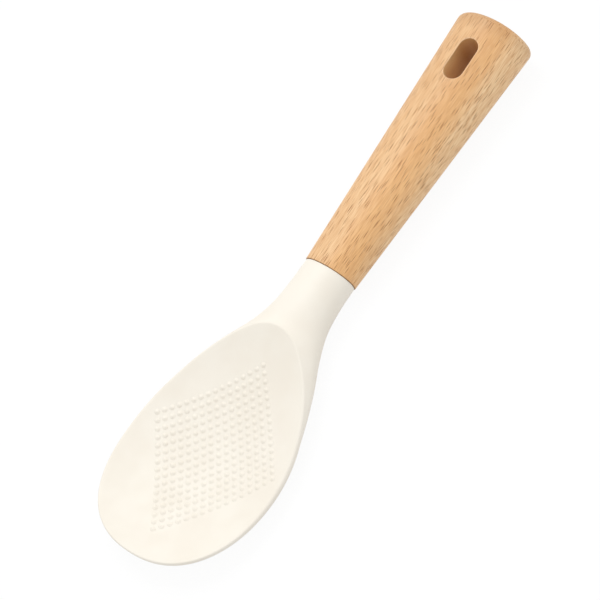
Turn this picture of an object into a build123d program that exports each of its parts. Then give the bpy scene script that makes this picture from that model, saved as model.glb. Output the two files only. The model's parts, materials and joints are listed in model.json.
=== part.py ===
from build123d import *
import math
import os

# Rice paddle: a soft moulded blade over a stiff core, whose tang is glued into a turned beech handle.
# Drawn along the handle: X across, Y from the blade's tip to the handle's end, Z out of the dish.
# The seam between neck and handle is at Y = 0, with the handle's axis at Z = 0. All sizes are in mm.

# Beech handle: an oval that grows evenly from the seam to a slightly domed end
handle_length = 113.7
seam_half_width = 11.27
seam_half_thickness = 8.92
end_half_width = 16.70
end_half_thickness = 11.98
end_dome_radius = 80.0
end_edge_round = 3.0
seam_edge_break = 0.35
bore_radius = 5.4
bore_depth = 58.0

# Hanging slot through the handle, near its end
slot_length = 17.7
slot_width = 8.0
slot_centre_from_end = 20.5

# Dish: part of a ball, whose lowest point lies this far from the seam and below the handle's axis
dish_radius = 102.0
dish_from_seam = 80.5
dish_drop = 4.95
blade_thickness = 2.6

# Rim outline, drawn on a flat plane this far above the dish's lowest point, from the dish's middle
rim_plane_height = 7.6
rim_half_width = 33.1
rim_widest_back = 5.4
rim_tip_reach = 46.8
rim_lip_reach = 54.5
rim_lip_radius = 14.4
rim_tip_points = 13
rim_tip_power_share = 0.85

# Neck: oval sections from the seam until the keel has died away in the blade's back
neck_length = 80.0
neck_step = 0.27
neck_flare = 21.6
neck_place_shares = (0, 0.125, 0.25, 0.375, 0.51, 0.66, 0.81, 1)
neck_flare_shares = (0, 0.014, 0.08, 0.26, 0.52, 0.74, 0.87, 0.92)
neck_sink_shares = (0, 0.01, 0.05, 0.10, 0.13, 0.13, 0.14, 0.15)
neck_upper_shares = (1, 1.02, 1.03, 1.04, 1.02, 0.78, 0.51, 0.12)
neck_lower_shares = (1, 0.95, 0.88, 0.81, 0.76, 0.71, 0.59, 0.23)

# Raised dots inside the dish, in slanting rows that make a rhombus
dots_per_side = 16
dot_pitch_across = 3.764
dot_pitch_along = 4.786
dot_rows_bow = 1.95
dot_middle_offset = 2.25
dot_radius = 0.80
dot_height = 0.45

# Stiff core: a plate inside the blade, a solid neck and a ribbed tang
core_skin = 0.75
core_plate_thickness = 1.1
core_margin = 3.0
core_wall = 2.2
core_plate_stations = 7
tang_radius = 4.2
tang_length = 54.0
tang_tip_chamfer = 1.2
tang_rib_radius = 4.9
tang_rib_width = 2.0
tang_rib_pitch = 7.0
tang_rib_count = 6

# Cured adhesive starts a little way inside the bore
glue_setback = 1.0

# How far cutting tools run past what they cut
overrun = 5.0


def handle_half_sizes(y):
    """Half width and half thickness of the oval handle at a place along its axis."""
    share = y / handle_length
    half_width = seam_half_width + (end_half_width - seam_half_width) * share
    half_thickness = seam_half_thickness + (end_half_thickness - seam_half_thickness) * share
    return half_width, half_thickness


def oval_face(y, half_width, upper, lower, middle_z=0):
    """A flat oval across the handle's axis, whose upper and lower halves may differ in height."""
    plane = Plane((0, y, middle_z), x_dir=(1, 0, 0), z_dir=(0, -1, 0))
    upper_half = EllipticalCenterArc((0, 0), half_width, upper, start_angle=0, arc_size=180)
    lower_half = EllipticalCenterArc((0, 0), half_width, lower, start_angle=180, arc_size=180)
    return plane * make_face([upper_half, lower_half])


def rod(radius, start_y, end_y):
    """A round bar on the handle's axis."""
    return Plane((0, start_y, 0), x_dir=(1, 0, 0), z_dir=(0, 1, 0)) * Cylinder(
        radius, end_y - start_y, align=(Align.CENTER, Align.CENTER, Align.MIN)
    )


def dish_ball(extra_radius=0):
    """The ball whose lower surface is the dish, or one that is larger by a depth into the blade."""
    centre = (0, -dish_from_seam, dish_radius - dish_drop)
    return Pos(*centre) * Rot(0, -90, 0) * Sphere(dish_radius + extra_radius)


def rim_face(inset=0):
    """The egg-shaped rim outline about the dish's middle, with its squarish tip towards -Y."""
    half_width = rim_half_width - inset
    tip_reach = rim_tip_reach - inset
    lip_reach = rim_lip_reach - inset
    lip_radius = rim_lip_radius - inset
    widest = -rim_widest_back
    lip_centre = lip_reach - lip_radius
    rise = lip_centre - widest
    side_radius = (half_width**2 + rise**2 - lip_radius**2) / (2 * (half_width - lip_radius))
    side_sweep = math.degrees(math.atan2(rise, side_radius - half_width))
    tip_points = []
    for number in range(rim_tip_points):
        turn = math.pi * number / (rim_tip_points - 1)
        across = math.copysign(abs(math.cos(turn)) ** rim_tip_power_share, -math.cos(turn))
        along = math.sin(turn) ** rim_tip_power_share
        tip_points.append((half_width * across, widest - (tip_reach + widest) * along))
    tip = Spline(tip_points, tangents=[(0, -1), (0, 1)])
    right_side = CenterArc((half_width - side_radius, widest), side_radius, 0, side_sweep)
    lip = CenterArc((0, lip_centre), lip_radius, side_sweep, 180 - 2 * side_sweep)
    left_side = CenterArc((side_radius - half_width, widest), side_radius, 180 - side_sweep, side_sweep)
    return make_face([tip, right_side, lip, left_side])


def rim_cone(inset=0):
    """The rim outline carried through the blade, with its wall square to the dish everywhere."""
    outline = rim_face(inset)
    drawn_depth = dish_radius - rim_plane_height
    sections = []
    for depth in (drawn_depth - rim_plane_height, dish_radius + blade_thickness + overrun):
        height = dish_radius - dish_drop - depth
        sections.append(Pos(0, -dish_from_seam, height) * scale(outline, by=depth / drawn_depth))
    return loft(sections, ruled=True)


def neck_loft(wall=0, stations=len(neck_place_shares)):
    """The neck's smooth body, or its core when a wall is taken off all round."""
    sections = []
    for place, flare, sink, upper, lower in list(
        zip(neck_place_shares, neck_flare_shares, neck_sink_shares, neck_upper_shares, neck_lower_shares)
    )[:stations]:
        half_width = seam_half_width - neck_step + neck_flare * flare - wall
        half_thickness = seam_half_thickness - neck_step
        sections.append(
            oval_face(
                -neck_length * place,
                half_width,
                half_thickness * upper - wall,
                half_thickness * lower - wall,
                -half_thickness * sink,
            )
        )
    return loft(sections)


def dished_body():
    """Blade and neck with the dish cut into both: an even wall between two balls, square at the rim."""
    lens = rim_cone() & dish_ball(blade_thickness)
    return lens + neck_loft() - dish_ball()


def dot_places():
    """Where each raised dot stands in the dish, as X and Y."""
    half_rows = (dots_per_side - 1) / 2
    for i in range(dots_per_side):
        for j in range(dots_per_side):
            across = (i + j) / 2 - half_rows
            along = (i - j) / 2
            bow = dot_rows_bow * (across / half_rows) ** 2
            yield across * dot_pitch_across, along * dot_pitch_along + bow + dot_middle_offset


def raised_dots():
    """Small balls, each sunk so that a low dome stands out of the dish."""
    ball_radius = (dot_radius**2 + dot_height**2) / (2 * dot_height)
    seat_radius = dish_radius + ball_radius - dot_height
    dots = []
    for x, y in dot_places():
        z = dish_radius - dish_drop - math.sqrt(seat_radius**2 - x**2 - y**2)
        dots.append(Pos(x, y - dish_from_seam, z) * Rot(0, 90, 0) * Sphere(ball_radius))
    return dots


def blade_core():
    """Stiff core: blade plate, solid neck and the ribbed tang that enters the handle."""
    plate = rim_cone(core_margin) & dish_ball(core_skin + core_plate_thickness)
    plate -= dish_ball(core_skin)
    neck = neck_loft(core_wall, core_plate_stations) - dish_ball(core_skin)
    tang = rod(tang_radius, 0, tang_length)
    tang = chamfer(tang.edges().sort_by(Axis.Y)[-1], tang_tip_chamfer)
    for number in range(1, tang_rib_count + 1):
        middle = tang_rib_pitch * number
        tang += rod(tang_rib_radius, middle - tang_rib_width / 2, middle + tang_rib_width / 2)
    return plate + neck + tang


def soft_blade(core):
    """Soft blade and neck, moulded over the core in one piece, with the dots inside the dish."""
    return dished_body().fuse(*raised_dots()) - core


def wooden_handle():
    """Beech handle with a blind bore for the tang and a slot to hang it by."""
    past_end = handle_length + overrun
    past_width, past_thickness = handle_half_sizes(past_end)
    seam_oval = oval_face(0, seam_half_width, seam_half_thickness, seam_half_thickness)
    body = loft([seam_oval, oval_face(past_end, past_width, past_thickness, past_thickness)], ruled=True)
    dome_centre = handle_length - end_dome_radius
    body &= Pos(0, dome_centre, 0) * Sphere(end_dome_radius) + rod(
        end_dome_radius, dome_centre - handle_length, dome_centre
    )
    body = fillet(body.edges().sort_by(Axis.Y)[-1], end_edge_round)
    body = chamfer(body.edges().sort_by(Axis.Y)[0], seam_edge_break)
    slot = Rot(0, 0, 90) * SlotOverall(slot_length, slot_width)
    slot = Pos(0, handle_length - slot_centre_from_end, 0) * extrude(slot, end_half_thickness, both=True)
    body -= rod(bore_radius, -overrun, bore_depth)
    return body - slot


def tang_adhesive(core):
    """Cured adhesive that fills the bore round the tang and past its tip."""
    return rod(bore_radius, glue_setback, bore_depth) - core


def lie_angle():
    """How far the handle's axis tilts when the blade's back and the handle's end touch a table."""
    _, end_thickness = handle_half_sizes(handle_length)
    dome_drop = end_dome_radius - math.sqrt(end_dome_radius**2 - end_thickness**2)
    heel = handle_length - dome_drop - end_edge_round
    _, heel_thickness = handle_half_sizes(heel)
    along = heel + dish_from_seam
    up = dish_radius - dish_drop + heel_thickness
    return math.degrees(
        math.acos((dish_radius + blade_thickness) / math.hypot(along, up)) - math.atan2(along, up)
    )


def lay_down(pieces):
    """Turn the whole paddle to lie on a table, and put the origin under its middle."""
    laid = {name: Rot(lie_angle(), 0, 0) * piece for name, piece in pieces.items()}
    boxes = [piece.bounding_box() for piece in laid.values()]
    tip_y = min(box.min.Y for box in boxes)
    end_y = max(box.max.Y for box in boxes)
    lowest_z = min(box.min.Z for box in boxes)
    return {name: Pos(0, -(tip_y + end_y) / 2, -lowest_z) * piece for name, piece in laid.items()}


def build():
    """Every piece of the paddle by name, as it lies on a table."""
    core = blade_core()
    pieces = {
        "soft_blade": soft_blade(core),
        "blade_core": core,
        "tang_adhesive": tang_adhesive(core),
        "wooden_handle": wooden_handle(),
    }
    return lay_down(pieces)


os.makedirs("parts", exist_ok=True)
for name, piece in build().items():
    export_step(piece, f"parts/{name}.step")
    box = piece.bounding_box()
    print(f"{name}: {piece.volume:.0f} mm3, {box.size.X:.1f} x {box.size.Y:.1f} x {box.size.Z:.1f} mm")
print(f"lies tilted by {lie_angle():.2f} degrees")
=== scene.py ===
# %% [markdown]
# A rice paddle, dressed around its CAD model.
# The paddle has four real pieces: a soft silicone blade, the stiff core inside it, the glue round
# the core's tang, and a beech handle. The core and the glue are never seen, so they keep their CAD
# meshes. The blade and the handle are what a buyer looks at, so each gets a finer mesh here, in
# exactly the same place and size.

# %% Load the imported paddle
import json
import math

import bmesh
import bpy
import numpy as np
from mathutils import Matrix, Vector


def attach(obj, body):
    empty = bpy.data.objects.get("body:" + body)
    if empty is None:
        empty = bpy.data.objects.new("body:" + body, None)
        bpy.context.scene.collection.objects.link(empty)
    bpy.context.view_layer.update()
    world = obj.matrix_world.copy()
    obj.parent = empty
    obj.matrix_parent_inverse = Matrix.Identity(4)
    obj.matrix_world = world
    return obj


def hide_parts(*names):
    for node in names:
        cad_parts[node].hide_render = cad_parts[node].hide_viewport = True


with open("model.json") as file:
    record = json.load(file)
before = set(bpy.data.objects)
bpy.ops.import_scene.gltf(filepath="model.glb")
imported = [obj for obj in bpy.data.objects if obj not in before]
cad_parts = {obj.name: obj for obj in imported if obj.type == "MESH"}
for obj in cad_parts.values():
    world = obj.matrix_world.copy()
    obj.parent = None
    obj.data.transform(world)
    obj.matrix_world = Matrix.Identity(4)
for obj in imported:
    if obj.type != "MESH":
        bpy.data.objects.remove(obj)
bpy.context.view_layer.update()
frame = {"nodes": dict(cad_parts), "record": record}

# %% [markdown]
# Every size below is in millimetres, along the handle: X across, Y from the seam between neck and
# wood towards the handle's end, Z out of the dish. The paddle lies on a table, so this drawing
# frame is tilted a little and lifted. The slot's mount in the record tells both.

# %% Lay drawn points on the table
MM = 0.001
slot_from_seam = 93.2
slot_mount = frame["record"]["mounts"][0]
tilt = math.atan2(-slot_mount["axis"][1], slot_mount["axis"][2])
along_handle = np.array([0, math.cos(tilt), math.sin(tilt)])
out_of_dish = np.array([0, -math.sin(tilt), math.cos(tilt)])
seam_place = np.array(slot_mount["pos_m"]) / MM - slot_from_seam * along_handle


def lay(points):
    """Turn drawn points, in mm along the handle, into metres on the table."""
    points = np.asarray(points, float)
    laid = seam_place + points[:, 1:2] * along_handle + points[:, 2:3] * out_of_dish
    laid[:, 0] += points[:, 0]
    return laid * MM


print(f"tilt {math.degrees(tilt):.2f} degrees, seam at {np.round(seam_place, 2)} mm")

# %% [markdown]
# Shader and geometry trees are both nodes with wires between them. These helpers add a node and
# fill its inputs in one call: a plain value is typed in, and another node's output is wired.


# %% Short ways to build node trees
def add_node(tree, kind, inputs=None, **settings):
    """Add a node, set its settings, and fill its inputs with values or wires."""
    made = tree.nodes.new(kind)
    for name, value in settings.items():
        setattr(made, name, value)
    for name, value in (inputs or {}).items():
        if isinstance(value, bpy.types.NodeSocket):
            tree.links.new(value, made.inputs[name])
        else:
            made.inputs[name].default_value = value
    return made


def maths(tree, operation, *values):
    """The result of a Math node."""
    inputs = dict(enumerate(values))
    return add_node(tree, "ShaderNodeMath", inputs, operation=operation).outputs[0]


def map_range(tree, value, low, high):
    """A share that rises smoothly from 0 to 1 while the value goes from low to high."""
    inputs = {"Value": value, "From Min": low, "From Max": high}
    return add_node(tree, "ShaderNodeMapRange", inputs, interpolation_type="SMOOTHSTEP").outputs[0]


def blend_colour(tree, share, first, second):
    """The first colour where the share is 0, and the second where it is 1."""
    factor, first_colour, second_colour, result_colour = 0, 6, 7, 2
    inputs = {factor: share, first_colour: first, second_colour: second}
    return add_node(tree, "ShaderNodeMix", inputs, data_type="RGBA").outputs[result_colour]


def tone(red, green, blue):
    """A colour from the 0 to 255 numbers of a colour picker, as the shader needs it."""
    shares = [part / 255 for part in (red, green, blue)]
    light = [((part + 0.055) / 1.055) ** 2.4 if part > 0.04 else part / 12.92 for part in shares]
    return (*light, 1)


# %% [markdown]
# Silicone, nylon and cured glue are all moulded or poured. Up close such a surface is not one flat
# colour: it has broad, very faint clouds, and a fine tooth that it takes from the mould. One node
# group gives both to all three materials, and each only sets its own tones and sizes.

# %% One group for everything that came out of a mould
moulded = bpy.data.node_groups.new("moulded_surface", "ShaderNodeTree")
for name, kind, value in (
    ("Light Tone", "NodeSocketColor", tone(255, 255, 255)),
    ("Deep Tone", "NodeSocketColor", tone(230, 230, 230)),
    ("Cloud Size", "NodeSocketFloat", 12.0),
    ("Tooth Size", "NodeSocketFloat", 0.2),
    ("Smoothest", "NodeSocketFloat", 0.4),
    ("Roughest", "NodeSocketFloat", 0.6),
):
    moulded.interface.new_socket(name, in_out="INPUT", socket_type=kind).default_value = value
for name, kind in (
    ("Colour", "NodeSocketColor"),
    ("Roughness", "NodeSocketFloat"),
    ("Height", "NodeSocketFloat"),
):
    moulded.interface.new_socket(name, in_out="OUTPUT", socket_type=kind)
given = add_node(moulded, "NodeGroupInput").outputs
place = add_node(moulded, "ShaderNodeTexCoord").outputs["Object"]


def moulded_noise(size, detail):
    """Noise whose patches are about this many mm across."""
    scale = maths(moulded, "DIVIDE", 1 / MM, size)
    inputs = {"Vector": place, "Scale": scale, "Detail": detail}
    return add_node(moulded, "ShaderNodeTexNoise", inputs).outputs["Fac"]


cloud_share, tooth_share = 0.6, 0.4
clouds = map_range(moulded, moulded_noise(given["Cloud Size"], 2.0), 0.3, 0.7)
tooth = moulded_noise(given["Tooth Size"], 3.0)
tooth_part = maths(moulded, "MULTIPLY", tooth, tooth_share)
wear = maths(moulded, "MULTIPLY_ADD", clouds, cloud_share, tooth_part)
spread = maths(moulded, "SUBTRACT", given["Roughest"], given["Smoothest"])
add_node(
    moulded,
    "NodeGroupOutput",
    {
        "Colour": blend_colour(moulded, clouds, given["Light Tone"], given["Deep Tone"]),
        "Roughness": maths(moulded, "MULTIPLY_ADD", wear, spread, given["Smoothest"]),
        "Height": tooth,
    },
)


# %% [markdown]
# The silicone is matt and nearly even, the nylon greyer and rougher, and the glue glossy amber.


# %% Silicone, nylon and glue
def moulded_material(name, tones, cloud_size, tooth_size, roughness, tooth_depth, ior=1.5):
    """A material whose colour, roughness and tooth come from the moulded group."""
    material = bpy.data.materials.new(name)
    material.use_nodes = True
    tree = material.node_tree
    shader = tree.nodes["Principled BSDF"]
    surface = add_node(tree, "ShaderNodeGroup", node_tree=moulded)
    for socket, value in zip(surface.inputs, (*tones, cloud_size, tooth_size, *roughness)):
        socket.default_value = value
    depths = {"Height": surface.outputs["Height"], "Distance": tooth_depth * MM}
    bump = add_node(tree, "ShaderNodeBump", depths)
    tree.links.new(surface.outputs["Colour"], shader.inputs["Base Color"])
    tree.links.new(surface.outputs["Roughness"], shader.inputs["Roughness"])
    tree.links.new(bump.outputs["Normal"], shader.inputs["Normal"])
    shader.inputs["IOR"].default_value = ior
    return material


silicone = moulded_material(
    "cream_silicone",
    tones=(tone(249, 243, 231), tone(246, 239, 226)),
    cloud_size=14.0,
    tooth_size=0.16,
    roughness=(0.46, 0.62),
    tooth_depth=0.01,
)
nylon = moulded_material(
    "glass_filled_nylon",
    tones=(tone(238, 233, 219), tone(222, 215, 198)),
    cloud_size=5.0,
    tooth_size=0.3,
    roughness=(0.5, 0.7),
    tooth_depth=0.03,
)
glue = moulded_material(
    "cured_glue",
    tones=(tone(226, 205, 150), tone(204, 176, 112)),
    cloud_size=3.0,
    tooth_size=0.8,
    roughness=(0.12, 0.3),
    tooth_depth=0.04,
    ior=1.54,
)
print("moulded materials:", [material.name for material in (silicone, nylon, glue)])

# %% [markdown]
# Beech is pale pinkish brown with three kinds of marks. Broad bands follow the growth rings, fine
# fibres run along the piece, and rays show as thousands of short dark dashes that point the same
# way. A picture wrapped round the handle would stretch at its end. So the pattern is worked out in
# space from the place alone, and the same wood then shows lines along the sides and dots on the
# sawn end. Noise has a hidden square lattice, which would show as patches where it lies level with
# the handle's broad top, so it is turned a little about the grain.

# %% Places in the beech
beech = bpy.data.materials.new("oiled_beech")
beech.use_nodes = True
wood = beech.node_tree
wood_place = add_node(
    wood,
    "ShaderNodeMapping",
    {
        "Vector": add_node(wood, "ShaderNodeTexCoord").outputs["Object"],
        "Scale": (1 / MM, 1 / MM, 1 / MM),
        "Rotation": (-tilt, 0, 0),
        "Location": (0, -float(seam_place @ along_handle), -float(seam_place @ out_of_dish)),
    },
).outputs["Vector"]
split = add_node(wood, "ShaderNodeSeparateXYZ", {"Vector": wood_place}).outputs
lattice_turn = 0.7


def stretched(across, along, offset):
    """Places in the wood, measured in steps of this many mm across the grain and along it."""
    return add_node(
        wood,
        "ShaderNodeMapping",
        {
            "Vector": wood_place,
            "Scale": (1 / across, 1 / along, 1 / across),
            "Rotation": (0, lattice_turn, 0),
            "Location": (offset, offset, offset),
        },
    ).outputs["Vector"]


def wood_noise(across, along, detail, offset=0.0):
    """Noise whose patches are this many mm across the grain and along it."""
    inputs = {"Vector": stretched(across, along, offset), "Scale": 1.0, "Detail": detail}
    return add_node(wood, "ShaderNodeTexNoise", {**inputs, "Roughness": 0.55}).outputs["Fac"]


def length_of(first, second):
    """The length of a flat vector with these two parts."""
    squares = [maths(wood, "POWER", part, 2.0) for part in (first, second)]
    return maths(wood, "SQRT", maths(wood, "ADD", *squares))


# %% [markdown]
# A log's rings are circles round its pith. The handle is cut well away from it, so the rings cross
# the handle as gently curved sheets. Bending the distance with slow noise makes them wander. Still
# slower noise moves the edges of broad bands: warm wood right of the middle, and a pale band at the
# right edge, which is partly paler wood and partly painted light that lifts the shaded right side.
# The whole handle deepens a little towards its end.

# %% Growth rings and broad bands
pith_across, pith_below = 46.0, 62.0
ring_spacing = 3.4
wander_reach = 9.0
from_pith = length_of(
    maths(wood, "SUBTRACT", split["X"], pith_across), maths(wood, "ADD", split["Z"], pith_below)
)
wander = maths(wood, "MULTIPLY", wood_noise(across=14.0, along=110.0, detail=2.0), wander_reach)
rings = maths(wood, "DIVIDE", maths(wood, "ADD", from_pith, wander), ring_spacing)
ring_share = maths(wood, "FRACT", rings)
slow_rise = map_range(wood, ring_share, 0.35, 0.95)
quick_fall = map_range(wood, ring_share, 1.0, 0.95)
late_wood = maths(wood, "MULTIPLY", slow_rise, quick_fall)
broad = map_range(wood, wood_noise(across=6.0, along=140.0, detail=2.0, offset=5.0), 0.35, 0.65)


def band(across, along, offset, reach, low, high):
    """A band that sets in between two places across the handle, with an edge that wanders."""
    edge = wood_noise(across, along, 2.0, offset)
    return map_range(wood, maths(wood, "MULTIPLY_ADD", edge, reach, split["X"]), low, high)


warm = band(across=5.0, along=90.0, offset=71.0, reach=6.0, low=2.0, high=9.0)
# Pale band at the right edge: partly paler wood, partly painted light that lifts the shaded side.
pale_edge_and_lift = band(across=4.0, along=120.0, offset=31.0, reach=7.0, low=12.0, high=17.0)
# Darker towards the handle's end, except at the right edge.
deepens_from, deepest_at = 20.0, 90.0
deepening_ends_at, deepening_full_at = 15.0, 8.0
towards_end = map_range(wood, split["Y"], deepens_from, deepest_at)
clear_of_right_edge = map_range(wood, split["X"], deepening_ends_at, deepening_full_at)
deepening_to_end = maths(wood, "MULTIPLY", towards_end, clear_of_right_edge)
print("growth ring spacing in mm:", ring_spacing)

# %% [markdown]
# Fibres are long threads, and noise that is stretched along the grain draws them well. Rays are
# thin spindles that keep apart. Noise would draw them in clumps, but a stretched Voronoi pattern
# has one spindle in each cell, and a dash shows wherever the handle's surface cuts one.

# %% Fibres, glints and rays
fibres = map_range(wood, wood_noise(across=0.2, along=12.0, detail=0.0, offset=9.0), 0.4, 0.6)
# Glints are pale streaks painted in as highlights.
glints = map_range(wood, wood_noise(across=0.18, along=8.0, detail=1.0, offset=53.0), 0.56, 0.7)
ray_cell_across, ray_cell_along = 0.4, 11.0
ray_radius, ray_core_share = 0.3, 0.55
ray_cells = stretched(ray_cell_across, ray_cell_along, offset=17.0)
spindles = {"Vector": ray_cells, "Scale": 1.0, "Randomness": 0.9}
from_core = add_node(wood, "ShaderNodeTexVoronoi", spindles).outputs["Distance"]
rays = map_range(wood, from_core, ray_radius, ray_radius * ray_core_share)
ray_size = [round(2 * ray_radius * cell, 2) for cell in (ray_cell_across, ray_cell_along)]
print("rays in mm: up to", ray_size[0], "x", ray_size[1])

# %% [markdown]
# Cut ends drink more oil than sides do, so the wood is darker on the domed end and a little darker
# inside the slot. The slot's wall is also painted darker towards the handle's end, which is painted
# shade. A hair's width at the seam is painted dark, partly oiled end grain and partly a painted
# shadow of the gap at the joint. A pale band painted on the slot's rounded mouth is a painted
# highlight. These masks come from the same drawn millimetres as the mesh, so they fit it more
# exactly than a painting could.

# %% Masks for the cut wood, with painted shade and a painted highlight
slot_length, slot_width = 17.7, 8.0
slot_half_width = slot_width / 2
slot_half_straight = slot_length / 2 - slot_half_width
wall_blur, highlight_full_to, highlight_gone_at = 0.08, 0.25, 0.5
seam_dark_full_to, seam_dark_gone_at = 0.1, 0.35
end_dry_at, end_soaked_at = 104.0, 112.0
wall_shade_from, wall_shade_full_at = 87.0, 101.0
along_slot = maths(wood, "ABSOLUTE", maths(wood, "SUBTRACT", split["Y"], slot_from_seam))
past_straight = maths(wood, "SUBTRACT", along_slot, slot_half_straight)
from_spine = length_of(maths(wood, "MAXIMUM", past_straight, 0.0), split["X"])
in_slot = map_range(wood, from_spine, slot_half_width + wall_blur, slot_half_width)
# A pale band round the slot's rounded mouth: a painted highlight.
near_mouth = map_range(
    wood, from_spine, slot_half_width + highlight_gone_at, slot_half_width + highlight_full_to
)
mouth_highlight = maths(wood, "SUBTRACT", near_mouth, in_slot)
# A hair's width of dark wood at the seam: partly oiled end grain, partly a painted shadow of the
# gap.
at_seam = map_range(wood, split["Y"], seam_dark_gone_at, seam_dark_full_to)
at_end = map_range(wood, split["Y"], end_dry_at, end_soaked_at)
# Inside the slot the wall is painted darker towards the handle's end: painted shade, over a little
# real darkening from oil in the cut wood.
wall_shade = map_range(wood, split["Y"], wall_shade_from, wall_shade_full_at)
slot_oil_and_shade_tone = blend_colour(wood, wall_shade, tone(236, 196, 140), tone(202, 154, 100))
# One dark tone for the oiled end and for the painted shadow at the seam.
oil_and_shadow_tone = tone(120, 76, 42)
print("slot in mm:", slot_length, "x", slot_width)

# %% [markdown]
# The masks are laid over each other like coats of stain, and some coats are painted light and
# shade. Each row of the table says where a coat lies, how strongly it covers and which tone it has,
# so it can be changed without touching a node.

# %% Colour, roughness and touch of the beech
colour = blend_colour(wood, broad, tone(245, 205, 156), tone(242, 197, 146))
for mask, cover, coat in (
    (warm, 0.6, tone(238, 181, 114)),
    # pale right edge: partly paler wood, partly painted light
    (pale_edge_and_lift, 0.7, tone(252, 223, 180)),
    (deepening_to_end, 0.24, tone(200, 150, 100)),
    (late_wood, 0.14, tone(214, 160, 106)),
    (fibres, 0.5, tone(210, 154, 101)),
    (glints, 0.25, tone(250, 217, 176)),
    (rays, 0.9, tone(150, 94, 50)),
    # inside the slot: a little oiled cut wood, and painted shade towards the end
    (in_slot, 0.8, slot_oil_and_shade_tone),
    # painted highlight on the slot's mouth
    (mouth_highlight, 0.35, tone(252, 222, 184)),
    (at_end, 0.2, oil_and_shadow_tone),
    # at the seam: partly oiled end grain, partly a painted shadow of the gap
    (at_seam, 0.75, oil_and_shadow_tone),
):
    colour = blend_colour(wood, maths(wood, "MULTIPLY", mask, cover), colour, coat)

plain_roughness, fibre_roughness, ray_roughness = 0.46, 0.1, 0.2
fibre_height, touch_depth, touch_strength = 0.35, 0.025, 0.8
roughness = maths(wood, "MULTIPLY_ADD", fibres, fibre_roughness, plain_roughness)
roughness = maths(wood, "MULTIPLY_ADD", rays, ray_roughness, roughness)
touch = maths(wood, "SUBTRACT", maths(wood, "MULTIPLY", fibres, fibre_height), rays)
depths = {"Height": touch, "Distance": touch_depth * MM, "Strength": touch_strength}
bump = add_node(wood, "ShaderNodeBump", depths)
beech_shader = wood.nodes["Principled BSDF"]
beech_shader.inputs["IOR"].default_value = 1.42
wood.links.new(colour, beech_shader.inputs["Base Color"])
wood.links.new(roughness, beech_shader.inputs["Roughness"])
wood.links.new(bump.outputs["Normal"], beech_shader.inputs["Normal"])
print("nodes in the beech:", len(wood.nodes))

# %% [markdown]
# The core and the glue sit inside the blade and the bore. Nobody sees them until the part is cut
# open or taken apart, so their CAD meshes serve as they are and only get their materials.

# %% Paint the hidden pieces
for node_name, material in (("blade_core", nylon), ("tang_adhesive", glue)):
    carried = frame["nodes"][node_name]
    carried.data.materials.clear()
    carried.data.materials.append(material)
    print(f"{node_name}: {len(carried.data.polygons)} faces, {material.name}")

# %% [markdown]
# A mesh is only points and faces. This helper makes one object from both, merges what meets,
# turns its faces outwards and shades it smooth except over real edges, so each piece below can be
# plain arithmetic.

# %% Make a piece from points and faces
merge_reach = 1e-7
sharp_turn = math.radians(42)


def put_in_scene(name, data):
    """A new object in the scene that carries this mesh, camera or lamp."""
    made = bpy.data.objects.new(name, data)
    bpy.context.scene.collection.objects.link(made)
    return made


def make_piece(name, points, faces, material, replaced_node):
    """A closed mesh in the place of a CAD node."""
    mesh = bpy.data.meshes.new(name)
    mesh.from_pydata([tuple(point) for point in lay(points)], [], faces)
    shape = bmesh.new()
    shape.from_mesh(mesh)
    bmesh.ops.remove_doubles(shape, verts=shape.verts, dist=merge_reach)
    bmesh.ops.recalc_face_normals(shape, faces=shape.faces)
    open_edges = sum(not edge.is_manifold for edge in shape.edges)
    shape.to_mesh(mesh)
    shape.free()
    mesh.shade_smooth()
    mesh.set_sharp_from_angle(angle=sharp_turn)
    mesh.materials.append(material)
    piece = put_in_scene(name, mesh)
    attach(piece, "root")
    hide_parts(replaced_node)
    print(f"{name}: {len(mesh.polygons)} faces, {open_edges} open edges")


def ring_faces(start, count, rings, skip=()):
    """Quads between rings of points that follow each other, each closed on itself."""
    faces = []
    for ring in range(rings - 1):
        for i in range(count):
            here, beside = start + ring * count + i, start + ring * count + (i + 1) % count
            if (ring, i) not in skip:
                faces.append((here, beside, beside + count, here + count))
    return faces


def rounded(before, corner, after, steps, weight):
    """Rows of points that round a corner; the weight is the cosine of half the turn."""
    rows = []
    for step in range(steps + 1):
        t = step / steps
        shares = np.array([(1 - t) ** 2, 2 * t * (1 - t) * weight, t**2])
        shares /= shares.sum()
        rows.append(before * shares[0] + corner * shares[1] + after * shares[2])
    return rows


def eased_square(cells):
    """Shares of reach and angles of a square grid that is eased into a disc."""
    steps = np.linspace(-1, 1, cells + 1)
    u, v = np.meshgrid(steps, steps, indexing="ij")
    reach = np.maximum(np.abs(u), np.abs(v))
    upright = np.abs(v) >= np.abs(u)
    safe = np.where(reach > 0, reach, 1)
    leaning = math.pi / 4 * np.where(upright, u / safe * np.sign(v), v / safe * np.sign(u))
    angle = np.where(upright, np.where(v >= 0, 0, math.pi) + leaning, 0)
    angle = np.where(~upright, np.where(u >= 0, math.pi / 2, -math.pi / 2) - leaning, angle)
    return reach.ravel(), angle.ravel()


def square_faces(start, cells):
    """Quads of an eased square grid."""
    corners = [start + i * (cells + 1) + j for i in range(cells) for j in range(cells)]
    return [(corner, corner + 1, corner + cells + 2, corner + cells + 1) for corner in corners]


# %% [markdown]
# The dish is part of a large ball, and the blade's back is a ball a wall's thickness larger.
# The rim is an egg: a slightly squared oval at the tip, two long arcs at the sides and a tight arc
# at the lip. It is drawn flat, and a cone from the ball's centre carries it through the wall.

# %% Sizes of the blade
dish_radius = 102.0
dish_from_seam = 80.5
dish_drop = 4.95
wall = 2.6
rim_plane_height = 7.6
rim_half_width = 33.1
rim_widest_back = 5.4
rim_tip_reach = 46.8
rim_lip_reach = 54.5
rim_lip_radius = 14.4
tip_power = 2.35
tiny = 1e-6
ball_centre = np.array([0, -dish_from_seam, dish_radius - dish_drop])
print("rim in mm:", 2 * rim_half_width, "x", rim_tip_reach + rim_lip_reach)


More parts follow.
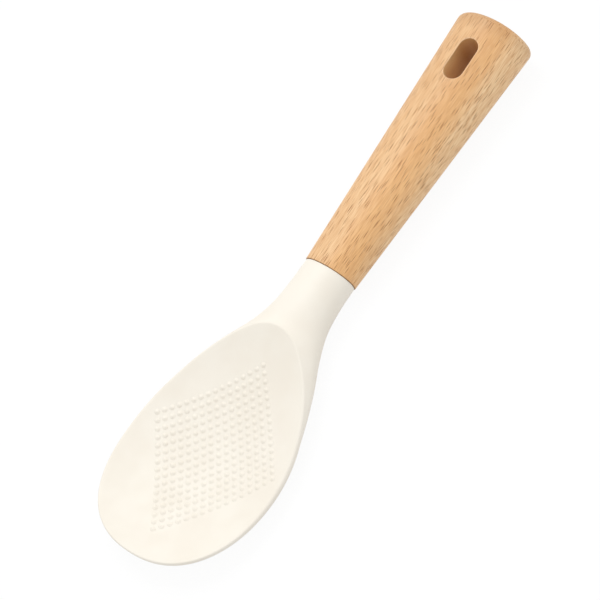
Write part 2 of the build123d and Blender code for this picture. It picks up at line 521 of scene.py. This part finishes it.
def rim_distance(points):
    """How far points lie outside the cone that carries the egg-shaped rim; inside is negative."""
    drawn_depth = dish_radius - rim_plane_height
    offset = points - ball_centre
    shrink = -offset[..., 2] / drawn_depth
    x = np.abs(offset[..., 0]) / shrink
    y = offset[..., 1] / shrink + rim_widest_back
    lip_centre = rim_lip_reach - rim_lip_radius + rim_widest_back
    side_radius = (rim_half_width**2 + lip_centre**2 - rim_lip_radius**2) / (
        2 * (rim_half_width - rim_lip_radius)
    )
    side_centre = rim_half_width - side_radius
    side = np.hypot(x - side_centre, y) - side_radius
    lip = np.hypot(x, y - lip_centre) - rim_lip_radius
    beyond_side = y * -side_centre > lip_centre * (x - side_centre)
    tip_length = rim_tip_reach - rim_widest_back
    x_share, y_share = x / rim_half_width, np.abs(y) / tip_length
    growth = np.maximum((x_share**tip_power + y_share**tip_power) ** (1 / tip_power), tiny)
    steepness = np.hypot(
        x_share ** (tip_power - 1) / rim_half_width, y_share ** (tip_power - 1) / tip_length
    ) / growth ** (tip_power - 1)
    tip = (growth - 1) / np.maximum(steepness, tiny)
    flat = np.where(y < 0, tip, np.where(beyond_side, lip, side))
    return flat * shrink


# %% [markdown]
# The neck is a row of ovals whose size changes along the handle. A few shares, read off the
# photograph, say how much it flares and how its keel dies away in the blade's back.

# %% Sizes of the neck
seam_half_width = 11.27
seam_half_thickness = 8.92
neck_step = 0.27
neck_length = 80.0
neck_flare = 21.6
neck_fades_from = 60.0
neck_fade = 0.02
neck_place_shares = (0, 0.125, 0.25, 0.375, 0.51, 0.66, 0.81, 1)
neck_flare_shares = (0, 0.014, 0.076, 0.246, 0.489, 0.696, 0.832, 0.902)
neck_sink_shares = (0, 0.01, 0.05, 0.10, 0.13, 0.13, 0.14, 0.15)
neck_upper_shares = (1, 1.02, 1.03, 1.035, 0.99, 0.784, 0.509, 0.121)
neck_lower_shares = (1, 0.952, 0.879, 0.808, 0.764, 0.712, 0.591, 0.235)


def smooth_table(places, values, at):
    """A smooth curve through a few values, read at many places."""
    places, values = np.asarray(places, float), np.asarray(values, float)
    slopes = np.gradient(values, places)
    i = np.clip(np.searchsorted(places, at) - 1, 0, len(places) - 2)
    step = places[i + 1] - places[i]
    t = np.clip((at - places[i]) / step, 0, 1)
    start, end = values[i], values[i + 1]
    start_pull, end_pull = slopes[i] * step, slopes[i + 1] * step
    return (
        (2 * t**3 - 3 * t**2 + 1) * start
        + (t**3 - 2 * t**2 + t) * start_pull
        + (3 * t**2 - 2 * t**3) * end
        + (t**3 - t**2) * end_pull
    )


def neck_oval(y):
    """Half width, upper height, lower height and middle of the neck's oval at places along it."""
    share = np.clip(-y / neck_length, 0, 1)
    thickness = seam_half_thickness - neck_step
    half_width = seam_half_width - neck_step
    half_width = half_width + neck_flare * smooth_table(neck_place_shares, neck_flare_shares, share)
    upper = thickness * smooth_table(neck_place_shares, neck_upper_shares, share)
    lower = thickness * smooth_table(neck_place_shares, neck_lower_shares, share)
    middle = -thickness * smooth_table(neck_place_shares, neck_sink_shares, share)
    return half_width, upper, lower, middle


def neck_distance(points):
    """About how far points lie outside the neck; inside is negative."""
    half_width, upper, lower, middle = neck_oval(points[..., 1])
    x, z = points[..., 0], points[..., 2] - middle
    height = np.where(z > 0, upper, lower)
    growth = np.hypot(x / half_width, z / height)
    steepness = np.hypot(x / half_width**2, z / height**2) / np.maximum(growth, tiny)
    past_end = np.maximum(-neck_fades_from - points[..., 1], 0)
    return (growth - 1) / np.maximum(steepness, tiny) + neck_fade * past_end**2


neck_ends = neck_oval(np.array([0.0, -neck_length]))[0]
print("neck's half width at both ends in mm:", np.round(neck_ends, 1))

# %% [markdown]
# Blade and neck are one moulding, so they flow into each other. A smooth minimum joins two
# distances with a soft fillet, which narrows where the neck dies away, and a smooth maximum rounds
# the edge where wall and back meet. Towards the tip that rounding grows, so that the edge which
# slides under the rice is thin. The sum is one distance whose zero is the outer skin.

# %% The outer skin as one smooth distance
join_fillet = 5.6
least_fillet = 0.3
fillet_fades_from, fillet_gone_at = -33.0, -78.0
side_fillet, tip_fillet = 1.5, 3.2
tip_thins_from, tip_thinnest_at = -70.0, -118.0


def eased(share):
    """A share from 0 to 1 that starts and stops gently."""
    return share**2 * (3 - 2 * share)


def soft_minimum(first, second, fillet):
    """The smaller of two distances, with a fillet where they cross."""
    overlap = np.maximum(fillet - np.abs(first - second), 0) / fillet
    return np.minimum(first, second) - overlap**2 * fillet / 4


def skin_distance(points):
    """How far points lie outside blade and neck, with the dish still filled."""
    back = np.linalg.norm(points - ball_centre, axis=-1) - dish_radius - wall
    to_tip = np.clip((points[..., 1] - tip_thins_from) / (tip_thinnest_at - tip_thins_from), 0, 1)
    edge_fillet = side_fillet + (tip_fillet - side_fillet) * eased(to_tip)
    blade = -soft_minimum(-back, -rim_distance(points), edge_fillet)
    near = (points[..., 1] - fillet_gone_at) / (fillet_fades_from - fillet_gone_at)
    fillet = join_fillet * eased(np.clip(near, 0, 1)) + least_fillet
    return soft_minimum(blade, neck_distance(points), fillet)


def skin_slope(points, reach=0.01):
    """The skin's outward direction at points, and how fast the distance grows there."""
    slope = np.zeros(points.shape)
    for axis in range(3):
        nudge = np.zeros(3)
        nudge[axis] = reach
        slope[..., axis] = skin_distance(points + nudge) - skin_distance(points - nudge)
    return slope / (2 * reach)


def onto_skin(points, rounds=12, least_slope=0.05, longest_move=2):
    """Move points straight out or in until they lie on the skin."""
    for _ in range(rounds):
        slope = skin_slope(points)
        size = np.maximum((slope**2).sum(-1, keepdims=True), least_slope)
        move = skin_distance(points)[..., None] * slope / size
        points = points - np.clip(move, -longest_move, longest_move)
    return points


under_dish = np.array([0, -dish_from_seam, -dish_drop - wall])
print("skin under the dish's middle, off in mm:", round(abs(skin_distance(under_dish)), 6))

# %% [markdown]
# The crest is where the skin meets the dish's ball. Walking out from the dish's middle in every
# direction and halving the step finds it, and everything else starts from this one line.

# %% Find the crest of the rim
columns = 192
column_angles = np.arange(columns) * 2 * math.pi / columns
surely_inside, surely_outside, halvings = 20.0, 62.0, 40


def on_dish(reach, angles):
    """Points on the dish at a reach from its middle, in directions measured from the lip."""
    x = reach * np.sin(angles)
    y = reach * np.cos(angles)
    z = ball_centre[2] - np.sqrt(dish_radius**2 - x**2 - y**2)
    return np.stack([x, y - dish_from_seam, z], -1)


def crest_reach(angles):
    """How far the crest lies from the dish's middle, in each direction."""
    near = np.full(angles.shape, surely_inside)
    far = np.full(angles.shape, surely_outside)
    for _ in range(halvings):
        middle = (near + far) / 2
        outside = skin_distance(on_dish(middle, angles)) > 0
        far = np.where(outside, middle, far)
        near = np.where(outside, near, middle)
    return (near + far) / 2


crest = on_dish(crest_reach(column_angles), column_angles)
print("crest in mm: lip", np.round(crest[0], 1), "side", np.round(crest[columns // 4], 1))
print("tip", np.round(crest[columns // 2], 1))

# %% [markdown]
# From the crest, rows of points march down the wall and under the blade, then stretch along the
# neck to the seam. All of them are pulled onto the skin, so the grid is tidy and the shape exact.

# %% Rows of points over the outer skin
crest_turns = (0, 0.5, 1.1, 1.8, 2.4, 3.15)
crest_rounds = (0.5, 0.6, 0.9, 0.9, 0.65, 0.55)
march_step = 0.35
march_rows, march_settling = 12, 4
neck_rows = 56
belly = 5.0


def crest_round(angles):
    """How far the crest is rounded: most at the sides, and less at the lip and the tip."""
    away = np.abs((np.asarray(angles) + math.pi) % (2 * math.pi) - math.pi)
    return smooth_table(crest_turns, crest_rounds, away)


def march(row, ahead, length):
    """The next row of points on the skin, a set length further on."""
    tangent = np.roll(row, -1, 0) - np.roll(row, 1, 0)
    away = np.cross(skin_slope(row), tangent)
    away /= np.linalg.norm(away, axis=1, keepdims=True)
    away *= np.sign((away * ahead).sum(1, keepdims=True))
    return onto_skin(row + away * length, rounds=march_settling)


def between(count):
    """Even steps from 0 to 1, without either end."""
    return [step / count for step in range(1, count)]


def oval_ring(half_width, half_height, y, angles):
    """Points on an oval across the handle, in directions measured from its top."""
    x = half_width * np.sin(angles)
    return np.stack([x, y + 0 * x, half_height * np.cos(angles)], -1)


rows = [march(crest, crest - ball_centre, crest_round(column_angles)[:, None])]
rows.append(march(rows[0], rows[0] - crest, march_step))
while len(rows) <= march_rows:
    rows.append(march(rows[-1], rows[-1] - rows[-2], march_step))
seam_width, seam_height = (part[0] for part in neck_oval(np.zeros(1))[:2])
seam_row = oval_ring(seam_width, seam_height, 0.0, column_angles)
under = (1 - np.cos(column_angles)) / 2
for share in between(neck_rows):
    guide = rows[march_rows] * (1 - share) + seam_row * share
    guide[:, 2] -= belly * math.sin(math.pi * share) * under
    rows.append(onto_skin(guide))
furthest_off = float(np.abs(skin_distance(np.array(rows))).max())
print("rows on the skin:", len(rows), "furthest off in mm:", round(furthest_off, 6))

# %% [markdown]
# Rubber leaves its mould with soft edges. A Bevel modifier would round them all alike, but this
# crest is rounder at the sides than at the lip and the tip, so rows are laid along its own arcs.

# %% Round the crest and the neck's end
crest_steps = 5
crest_weight = 0.7
inner = on_dish(crest_reach(column_angles) - crest_round(column_angles), column_angles)
blade_rows = rounded(inner, crest, rows[0], crest_steps, crest_weight) + rows[1:]

seam_round = 0.3
seam_steps = 4
round_corner = math.cos(math.pi / 4)
seam_inset = 1 - seam_round / seam_width
before_seam = seam_row - np.array([0, seam_round, 0])
blade_rows += rounded(before_seam, seam_row, seam_row * seam_inset, seam_steps, round_corner)
print("rows of the blade's skin:", len(blade_rows))

# %% [markdown]
# A disc of rings would pinch all its faces together in the dish's middle. A square grid whose
# rings are eased into circles keeps every face about the same size.

# %% The blade in one closed mesh
skin_points = np.concatenate(blade_rows)
cap_centre = len(skin_points)
last_row = (len(blade_rows) - 1) * columns
blade_faces = ring_faces(0, columns, len(blade_rows))
blade_faces += [(last_row + i, last_row + (i + 1) % columns, cap_centre) for i in range(columns)]
cells = columns // 4
reach_share, grid_angle = eased_square(cells)
dish_points = on_dish(reach_share * (crest_reach(grid_angle) - crest_round(grid_angle)), grid_angle)
blade_faces += square_faces(cap_centre + 1, cells)
blade_points = np.concatenate([skin_points, np.zeros((1, 3)), dish_points])
make_piece("soft_blade_skin", blade_points, blade_faces, silicone, "soft_blade")

# %% [markdown]
# The dish carries 256 low domes in slanting rows, so that rice does not stick. They could be
# copied one by one, but they follow a rule, and that is what Geometry Nodes are for: a square grid
# of points is turned into the rhombus, bowed a little, dropped onto the dish's ball, and one small
# dome is placed on each point with its top towards the ball's centre.

# %% A tree that lays the dots
dots = bpy.data.node_groups.new("raised_dots", "GeometryNodeTree")
dots.interface.new_socket("Geometry", in_out="OUTPUT", socket_type="NodeSocketGeometry")
dot_sizes = {
    "Dots per Side": 16,
    "Pitch Across": 3.764,
    "Pitch Along": 4.786,
    "Row Bow": 1.95,
    "Middle Offset": 2.25,
    "Dish Radius": dish_radius,
    "Dot Radius": 1.2,
    "Dot Height": 0.5,
    "Segments": 12,
    "Ball Centre": tuple(lay(ball_centre[None])[0]),
    "Tilt": (tilt, 0, 0),
}
socket_kinds = {int: "NodeSocketInt", float: "NodeSocketFloat", tuple: "NodeSocketVector"}
for name, value in dot_sizes.items():
    dots.interface.new_socket(name, in_out="INPUT", socket_type=socket_kinds[type(value)])
asked = add_node(dots, "NodeGroupInput").outputs


# %% Where each dot stands
def tree_step(kind, inputs=None, **settings):
    """Add one node to the dots' tree and give what comes out of it first."""
    return add_node(dots, kind, inputs, **settings).outputs[0]


def sheet_of_points(size_x, size_y, points_x, points_y):
    """A flat sheet of points, for the tree to bend."""
    sizes = {"Size X": size_x, "Size Y": size_y, "Vertices X": points_x, "Vertices Y": points_y}
    return tree_step("GeometryNodeMeshGrid", sizes)


def moved_points(geometry, x, y, z):
    """The same geometry with each of its points put where these sums say."""
    place = tree_step("ShaderNodeCombineXYZ", {"X": x, "Y": y, "Z": z})
    return tree_step("GeometryNodeSetPosition", {"Geometry": geometry, "Position": place})


own_place = tree_step("GeometryNodeInputPosition")
own_x, own_y, _ = add_node(dots, "ShaderNodeSeparateXYZ", {"Vector": own_place}).outputs
last_dot = maths(dots, "SUBTRACT", asked["Dots per Side"], 1.0)
across = maths(dots, "MULTIPLY", maths(dots, "ADD", own_x, own_y), 0.5)
along = maths(dots, "MULTIPLY", maths(dots, "SUBTRACT", own_x, own_y), 0.5)
edge_share = maths(dots, "DIVIDE", across, maths(dots, "MULTIPLY", last_dot, 0.5))
bow_share = maths(dots, "POWER", maths(dots, "ABSOLUTE", edge_share), 2.0)
bow = maths(dots, "MULTIPLY", bow_share, asked["Row Bow"])
shift = maths(dots, "ADD", bow, asked["Middle Offset"])
dot_x = maths(dots, "MULTIPLY", across, asked["Pitch Across"])
dot_y = maths(dots, "MULTIPLY_ADD", along, asked["Pitch Along"], shift)
reach_squared = maths(dots, "MULTIPLY_ADD", dot_x, dot_x, maths(dots, "MULTIPLY", dot_y, dot_y))
radius_squared = maths(dots, "POWER", asked["Dish Radius"], 2.0)
depth = maths(dots, "SQRT", maths(dots, "SUBTRACT", radius_squared, reach_squared))
square = sheet_of_points(last_dot, last_dot, asked["Dots per Side"], asked["Dots per Side"])
seats = moved_points(square, dot_x, dot_y, maths(dots, "MULTIPLY", depth, -1.0))
print("dots asked for:", dot_sizes["Dots per Side"] ** 2)

# %% [markdown]
# One dome is a small sheet rolled up: its columns become angles and its rows become rings, from
# the top down to a flared skirt and then back to one point under the skin, which closes it. The
# bell curve (1 - r squared) squared is flat at the top and flat at the skirt, so the dome grows
# out of the dish with no crease.

# %% One dome
dome_rings = 4
skirt_depth, foot_depth = 0.02, 1.0
segments = asked["Segments"]
ring = maths(dots, "ADD", own_y, (dome_rings + 1) / 2)
turn = maths(dots, "MULTIPLY", maths(dots, "DIVIDE", own_x, segments), 2 * math.pi)
is_dome = maths(dots, "LESS_THAN", ring, dome_rings + 0.5)
is_foot = maths(dots, "SUBTRACT", 1.0, is_dome)
ring_share = maths(dots, "MULTIPLY", maths(dots, "DIVIDE", ring, float(dome_rings)), is_dome)
from_skirt = maths(dots, "SUBTRACT", 1.0, maths(dots, "POWER", ring_share, 2.0))
bell = maths(dots, "MULTIPLY", maths(dots, "POWER", from_skirt, 2.0), is_dome)
sunk = maths(dots, "MULTIPLY_ADD", is_foot, -foot_depth, -skirt_depth)
ring_reach = maths(dots, "MULTIPLY", ring_share, asked["Dot Radius"])
sheet = sheet_of_points(
    segments, float(dome_rings + 1), maths(dots, "ADD", segments, 1.0), dome_rings + 2
)
dome = moved_points(
    sheet,
    maths(dots, "MULTIPLY", maths(dots, "COSINE", turn), ring_reach),
    maths(dots, "MULTIPLY", maths(dots, "SINE", turn), ring_reach),
    maths(dots, "MULTIPLY_ADD", bell, asked["Dot Height"], sunk),
)
dome = tree_step("GeometryNodeMergeByDistance", {"Geometry": dome, "Distance": 0.001})
print("rings in a dome:", dome_rings, "of", dot_sizes["Segments"], "points")

# %% [markdown]
# Aiming each dome's top at the ball's centre stands it square to the dish anywhere. Realize
# Instances then makes the copies real faces, which an export keeps.

# %% Place a dome on every seat
back_to_centre = {0: own_place, 1: (-1, -1, -1)}
inward = tree_step("ShaderNodeVectorMath", back_to_centre, operation="MULTIPLY")
facing = tree_step("FunctionNodeAlignRotationToVector", {"Vector": inward}, axis="Z")
copies = {"Points": seats, "Instance": dome, "Rotation": facing}
laid_domes = tree_step(
    "GeometryNodeTransform",
    {
        "Geometry": tree_step("GeometryNodeInstanceOnPoints", copies),
        "Translation": asked["Ball Centre"],
        "Rotation": asked["Tilt"],
        "Scale": (MM, MM, MM),
    },
)
real_domes = tree_step("GeometryNodeRealizeInstances", {"Geometry": laid_domes})
painted = tree_step("GeometryNodeSetMaterial", {"Geometry": real_domes, "Material": silicone})
add_node(dots, "NodeGroupOutput", {"Geometry": painted})
print("nodes in the dots' tree:", len(dots.nodes))

# %% [markdown]
# The tree runs as a modifier on an empty mesh. Its result is then kept as a plain mesh, because
# the finished part should hold real faces and not a recipe. Only the domes are shaded smooth: the
# long faces of the hidden foot would bend the light on the skirt.

# %% Run the tree and keep its mesh
dot_piece = put_in_scene("raised_dots", bpy.data.meshes.new("raised_dots"))
recipe = dot_piece.modifiers.new("raised_dots", "NODES")
recipe.node_group = dots
for socket in dots.interface.items_tree:
    if socket.in_out == "INPUT":
        recipe[socket.identifier] = dot_sizes[socket.name]
bpy.context.view_layer.update()
evaluated = dot_piece.evaluated_get(bpy.context.evaluated_depsgraph_get())
dot_mesh = bpy.data.meshes.new_from_object(evaluated)
dot_piece.modifiers.remove(recipe)
dot_piece.data = dot_mesh
shape = bmesh.new()
shape.from_mesh(dot_mesh)
bmesh.ops.recalc_face_normals(shape, faces=shape.faces)
open_edges = sum(not edge.is_manifold for edge in shape.edges)
longest_on_top = 0.5 * MM
for face in shape.faces:
    on_top = all(edge.calc_length() < longest_on_top for edge in face.edges)
    face.smooth = len(face.verts) == 4 or on_top
shape.to_mesh(dot_mesh)
shape.free()
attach(dot_piece, "root")
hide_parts("soft_blade")
print(f"raised_dots: {len(dot_mesh.polygons)} faces, {open_edges} open edges")

# %% [markdown]
# The handle is a plain tapered oval with a softly domed end, sanded so that no edge is sharp. Its
# one difficulty is the slot. A Boolean would cut it, but leave long thin faces that shade badly.
# Instead the grid leaves a block open above and below, and rings of points ease from that block's
# edge to the slot's mouth, so faces stay even and the rounded mouth can follow it.

# %% Sizes of the handle
handle_length = 113.7
end_half_width = 16.70
end_half_thickness = 11.98
end_dome_radius = 80.0
end_edge_round = 3.0
seam_edge_break = 0.35
bore_radius = 5.4
bore_depth = 58.0
mouth_round = 0.4


def handle_oval(y):
    """Half width and half thickness of the handle at places along it."""
    share = y / handle_length
    return (
        seam_half_width + (end_half_width - seam_half_width) * share,
        seam_half_thickness + (end_half_thickness - seam_half_thickness) * share,
    )


def on_side(y, angles):
    """Points on the handle's side at places along it, in directions measured from the top."""
    return oval_ring(*handle_oval(y), y, angles)


def onto_top(flat):
    """Points with X and Y on the handle's upper side."""
    half_width, half_thickness = handle_oval(flat[:, 1])
    height = half_thickness * np.sqrt(1 - (flat[:, 0] / half_width) ** 2)
    return np.column_stack([flat[:, :2], height])


def onto_end(points):
    """Move points along the handle until they lie on its domed end."""
    reach = np.hypot(points[..., 0], points[..., 2])
    y = handle_length - end_dome_radius + np.sqrt(end_dome_radius**2 - reach**2)
    return np.stack([points[..., 0], y, points[..., 2]], -1)


print("handle's half sizes at its end in mm:", handle_oval(handle_length))

# %% [markdown]
# The side is a row of ovals, and the end is part of a ball. Their corner is found by going back and
# forth between the two until a point lies on both, and then an arc of a few rows rounds it.

# %% Rows from the seam to the domed end
side_columns = 128
side_angles = np.arange(side_columns) * 2 * math.pi / side_columns
shaft_rows, slot_rows, tail_rows = 40, 20, 5
block_half_length = 11.0
slot_block = (slot_from_seam - block_half_length, slot_from_seam + block_half_length)
shaft = np.linspace(seam_edge_break, slot_block[0], shaft_rows + 1)[:-1]
places = np.concatenate([shaft, np.linspace(*slot_block, slot_rows + 1)])
side_rows = [on_side(place, side_angles) for place in places]
corner_y = np.full(side_columns, handle_length)
corner_searches = 8
for _ in range(corner_searches):
    corner_y = onto_end(on_side(corner_y, side_angles))[:, 1]
corner = on_side(corner_y, side_angles)
corner_reach = np.hypot(corner[:, 0], corner[:, 2])[:, None]
corner_turn = math.pi / 2 - np.arcsin(corner_reach / end_dome_radius)
corner_run = end_edge_round * np.tan(corner_turn / 2)
round_from = on_side(corner_y - corner_run[:, 0], side_angles)
round_to = onto_end(corner * (1 - corner_run / corner_reach))
for share in between(tail_rows):
    side_rows.append(on_side(slot_block[1] * (1 - share) + round_from[:, 1] * share, side_angles))
end_steps = 8
end_corner = math.cos(float(corner_turn.mean()) / 2)
side_rows += rounded(round_from, corner, round_to, end_steps, end_corner)
print("handle's end in mm:", np.round(side_rows[-1][:, 1].max(), 2), "rows:", len(side_rows))

# %% [markdown]
# The same rows go on at the front: round the broken edge, over the sawn face and down the bore for
# the tang, so that the handle is as hollow as the real one when it is taken off.

# %% Front edge, face and bore
front_corner = on_side(0.0, side_angles)
front_reach = np.hypot(front_corner[:, 0], front_corner[:, 2])[:, None]
front_face = front_corner * (1 - seam_edge_break / front_reach)
bore_ring = oval_ring(bore_radius, bore_radius, 0.0, side_angles)
front_rows = rounded(side_rows[0], front_corner, front_face, seam_steps, round_corner)[1:]
front_rows += [bore_ring, bore_ring + np.array([0, bore_depth, 0])]
handle_rows = front_rows[::-1] + side_rows
print("rows of the handle:", len(handle_rows))

# %% [markdown]
# The slot is straight with round ends, and the block round it is square. From each border point,
# the slot's edge is found straight towards the nearest place on the slot's middle line. Rings
# between the two then change from the one shape to the other, and go on down the slot's wall.

# %% Rings that ease from the open block to the slot's mouth
block_half_columns = 8
first_slot_row = len(front_rows) + shaft_rows
last_slot_row = first_slot_row + slot_rows
left, right = -block_half_columns, block_half_columns
border = [(first_slot_row, column) for column in range(left, right)]
border += [(row, right) for row in range(first_slot_row, last_slot_row)]
border += [(last_slot_row, column) for column in range(right, left, -1)]
border += [(row, left) for row in range(last_slot_row, first_slot_row, -1)]
border = np.array([handle_rows[row][column % side_columns] for row, column in border])


def slot_outline(outside):
    """The slot's outline, or one outside it, straight in from each point of the block's border."""
    low, high = slot_from_seam - slot_half_straight, slot_from_seam + slot_half_straight
    nearest = np.clip(border[:, 1], low, high)
    spine = np.column_stack([0 * nearest, nearest])
    away = border[:, :2] - spine
    away /= np.linalg.norm(away, axis=1, keepdims=True)
    return spine + away * (slot_half_width + outside)


ease_rings, mouth_steps, wall_rings = 5, 5, 10
mouth_flat, mouth_corner = slot_outline(mouth_round), onto_top(slot_outline(0.0))
slot_rings = [border]
for share in between(ease_rings):
    slot_rings.append(onto_top(border[:, :2] * (1 - share) + mouth_flat * share))
mouth_end = mouth_corner - np.array([0, 0, mouth_round])
slot_rings += rounded(onto_top(mouth_flat), mouth_corner, mouth_end, mouth_steps, round_corner)
underside = [ring * np.array([1, 1, -1]) for ring in slot_rings[::-1]]
for share in between(wall_rings):
    slot_rings.append(mouth_end * (1 - share) + underside[0] * share)
slot_rings += underside
print("slot rings:", len(slot_rings), "of", len(border), "points")

# %% [markdown]
# Side, slot and end share their border points, so merging what meets closes them. The bore's
# bottom is a fan of faces, and the domed end is a square grid like the dish.

# %% The handle in one closed mesh
open_columns = [*range(left, right), *range(side_columns // 2 + left, side_columns // 2 + right)]
open_rows = range(first_slot_row, last_slot_row)
skip = {(row, column % side_columns) for row in open_rows for column in open_columns}
handle_faces = ring_faces(0, side_columns, len(handle_rows), skip)
slot_start = side_columns * len(handle_rows)
handle_faces += ring_faces(slot_start, len(border), len(slot_rings))
bore_centre = slot_start + len(slot_rings) * len(border)
handle_faces += [(i, (i + 1) % side_columns, bore_centre) for i in range(side_columns)]
end_cells = side_columns // 4
reach_share, grid_angle = eased_square(end_cells)
end_ring = handle_rows[-1]
ring_place = np.mod(grid_angle, 2 * math.pi) / (2 * math.pi) * side_columns
before = np.floor(ring_place + tiny).astype(int)
part = np.clip(ring_place - before, 0, 1)[:, None]
edge = end_ring[before % side_columns] * (1 - part) + end_ring[(before + 1) % side_columns] * part
end_points = onto_end(edge * reach_share[:, None])
handle_faces += square_faces(bore_centre + 1, end_cells)
handle_points = np.concatenate([*handle_rows, *slot_rings, [[0, bore_depth, 0]], end_points])
make_piece("beech_handle", handle_points, handle_faces, beech, "wooden_handle")

# %% [markdown]
# The camera stands where the photographer stood: above the blade and to its right, turned so that
# the handle points to the upper right corner.

# %% Camera as the photographer stood
camera_azimuth = 68.284
camera_elevation = 56.314
camera_roll = -36.280
camera_distance = 1.02877
aim = Vector((-0.00449, -0.00726, 0.009))
lens_mm = 167.93

turn, rise = math.radians(camera_azimuth), math.radians(camera_elevation)
towards_camera = Vector(
    (math.sin(turn) * math.cos(rise), -math.cos(turn) * math.cos(rise), math.sin(rise))
)
camera_data = bpy.data.cameras.new("camera")
camera_data.lens = lens_mm
camera_data.sensor_width = 36
camera_data.clip_start = 0.01
camera = put_in_scene("camera", camera_data)
level = (-towards_camera).to_track_quat("-Z", "Y").to_matrix().to_4x4()
camera.matrix_world = (
    Matrix.Translation(aim + towards_camera * camera_distance)
    @ level
    @ Matrix.Rotation(math.radians(camera_roll), 4, "Z")
)
bpy.context.scene.camera = camera
print("camera at", [round(part, 3) for part in camera.matrix_world.translation])

# %% [markdown]
# The background is pure white. More lamps would bleach the cream blade, so the floor shows white
# to the camera by itself. Only a small share of it takes real light, which keeps a faint shadow.
# From below the floor is clear, so the back can be looked at too.

# %% Floor
floor_half = 3.0
floor_mesh = bpy.data.meshes.new("floor")
far, near = floor_half, -floor_half
corners = [(near, near, 0), (far, near, 0), (far, far, 0), (near, far, 0)]
floor_mesh.from_pydata(corners, [], [(0, 1, 2, 3)])
floor = put_in_scene("floor", floor_mesh)
print("floor in metres:", 2 * floor_half)


# %% White paper for the floor
def seen_directly(tree):
    """1 where the camera, a reflection or a clear piece looks at the surface."""
    path = add_node(tree, "ShaderNodeLightPath").outputs
    clear = maths(tree, "MAXIMUM", path["Is Glossy Ray"], path["Is Transmission Ray"])
    return maths(tree, "MAXIMUM", path["Is Camera Ray"], clear)


white_share, glow_strength = 0.9, 1.03
paper = bpy.data.materials.new("white_paper")
paper.use_nodes = True
tree = paper.node_tree
tree.nodes.remove(tree.nodes["Principled BSDF"])
cloudy = add_node(tree, "ShaderNodeTexNoise", {"Scale": 6.0, "Detail": 2.0}).outputs["Fac"]
paper_tone = blend_colour(tree, cloudy, (0.8, 0.8, 0.8, 1), (0.84, 0.84, 0.84, 1))
lit = add_node(tree, "ShaderNodeBsdfDiffuse", {"Color": paper_tone})
glow = add_node(tree, "ShaderNodeEmission", {"Color": (1, 1, 1, 1), "Strength": glow_strength})
share = maths(tree, "MULTIPLY", seen_directly(tree), white_share)
mixed = add_node(tree, "ShaderNodeMixShader", {0: share, 1: lit.outputs[0], 2: glow.outputs[0]})
backfacing = add_node(tree, "ShaderNodeNewGeometry").outputs["Backfacing"]
under_floor = maths(tree, "MULTIPLY", backfacing, seen_directly(tree))
clear = add_node(tree, "ShaderNodeBsdfTransparent")
two_sides = {0: under_floor, 1: mixed.outputs[0], 2: clear.outputs[0]}
shown = add_node(tree, "ShaderNodeMixShader", two_sides)
tree.links.new(shown.outputs[0], tree.nodes["Material Output"].inputs["Surface"])
floor_mesh.materials.append(paper)
print("floor's own white:", white_share)

# %% [markdown]
# Soft light from all around gives the flat, gentle look of a product photo. A large lamp at the
# upper left makes one side of each dot light and the other dark, and a fill keeps the left flank
# nearly as bright as the paper.

# %% World and lamps
sky_strength = 0.74
world = bpy.data.worlds.new("studio")
world.use_nodes = True
tree = world.node_tree
sky = tree.nodes["Background"]
sky.inputs["Color"].default_value = (1, 1, 1, 1)
sky_level = maths(tree, "MULTIPLY_ADD", seen_directly(tree), 1 - sky_strength, sky_strength)
tree.links.new(sky_level, sky.inputs["Strength"])
bpy.context.scene.world = world


def add_lamp(name, place, size, power):
    """A square soft lamp that faces the paddle."""
    data = bpy.data.lights.new(name, "AREA")
    data.energy = power
    data.size = size
    lamp = put_in_scene(name, data)
    lamp.location = place
    lamp.rotation_euler = (-lamp.location).to_track_quat("-Z", "Y").to_euler()


add_lamp("key", place=(-0.35, 0.25, 0.85), size=0.5, power=2.9)
add_lamp("back_fill", place=(0.0, 0.9, 0.45), size=0.8, power=0.8)
bpy.context.scene.view_settings.view_transform = "Standard"
print("sky strength:", sky_strength)
